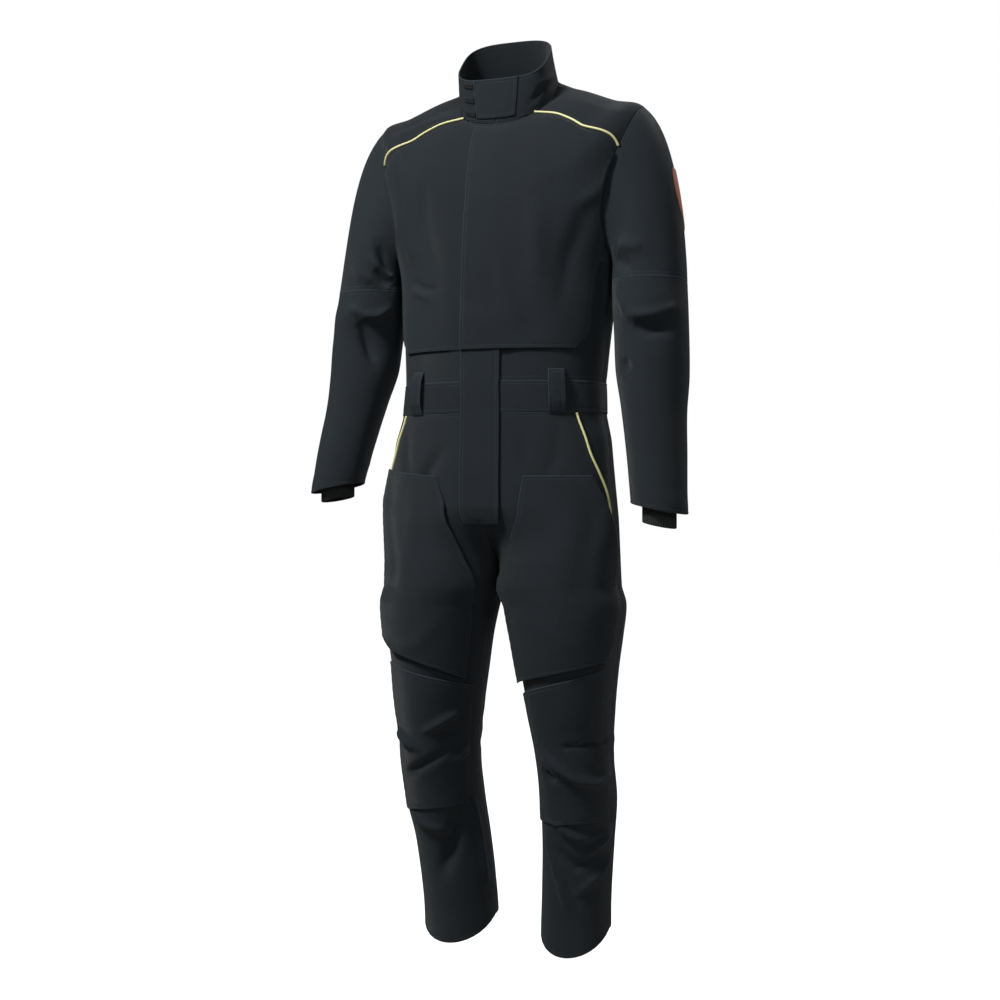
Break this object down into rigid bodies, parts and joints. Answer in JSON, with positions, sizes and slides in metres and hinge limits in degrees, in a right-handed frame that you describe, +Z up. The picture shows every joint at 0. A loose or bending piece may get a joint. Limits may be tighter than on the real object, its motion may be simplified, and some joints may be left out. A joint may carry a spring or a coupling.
{
  "type": "welding coverall",
  "caption": "One-piece coverall of dark heavy twill with stand-up collar, loose chest and thigh panels, pale piping, belt loops and knitted cuffs, in its worn form.",
  "frame": {"origin": "middle of the neck at shoulder height, where the garment hangs on its wearer", "axes": "+Z up to the head, the front faces -Y, the wearer's left is +X"},
  "size_m": [0.6736, 0.2559, 1.5624],
  "materials": {
    "cloth": "matte",
    "knit": "matte",
    "piping": "satin",
    "leather": "satin",
    "grip": "matte"
  },
  "bodies": {
    "root": {"bodice_front_left": "cloth", "bodice_front_right": "cloth", "bodice_back": "cloth", "shoulder_yoke": "cloth", "yoke_piping_left": "piping", "yoke_piping_right": "piping", "collar_band": "cloth", "collar_tab": "cloth", "collar_grip_1": "grip", "collar_grip_2": "grip", "collar_grip_3": "grip", "chest_panel_left": "cloth", "chest_panel_right": "cloth", "front_placket": "cloth", "waistband": "cloth", "belt_loop_front_left": "cloth", "belt_loop_front_right": "cloth", "belt_loop_back_left": "cloth", "belt_loop_back_right": "cloth", "belt_loop_back": "cloth", "trouser_front_left": "cloth", "trouser_front_right": "cloth", "trouser_back_left": "cloth", "trouser_back_right": "cloth", "pocket_piping_left": "piping", "pocket_piping_right": "piping", "thigh_panel_left": "cloth", "thigh_panel_right": "cloth", "knee_patch_left": "cloth", "knee_patch_right": "cloth", "sleeve_upper_left": "cloth", "sleeve_upper_right": "cloth", "sleeve_lower_left": "cloth", "sleeve_lower_right": "cloth", "rib_cuff_left": "knit", "rib_cuff_right": "knit", "arm_patch": "leather"}
  },
  "joints": []
}
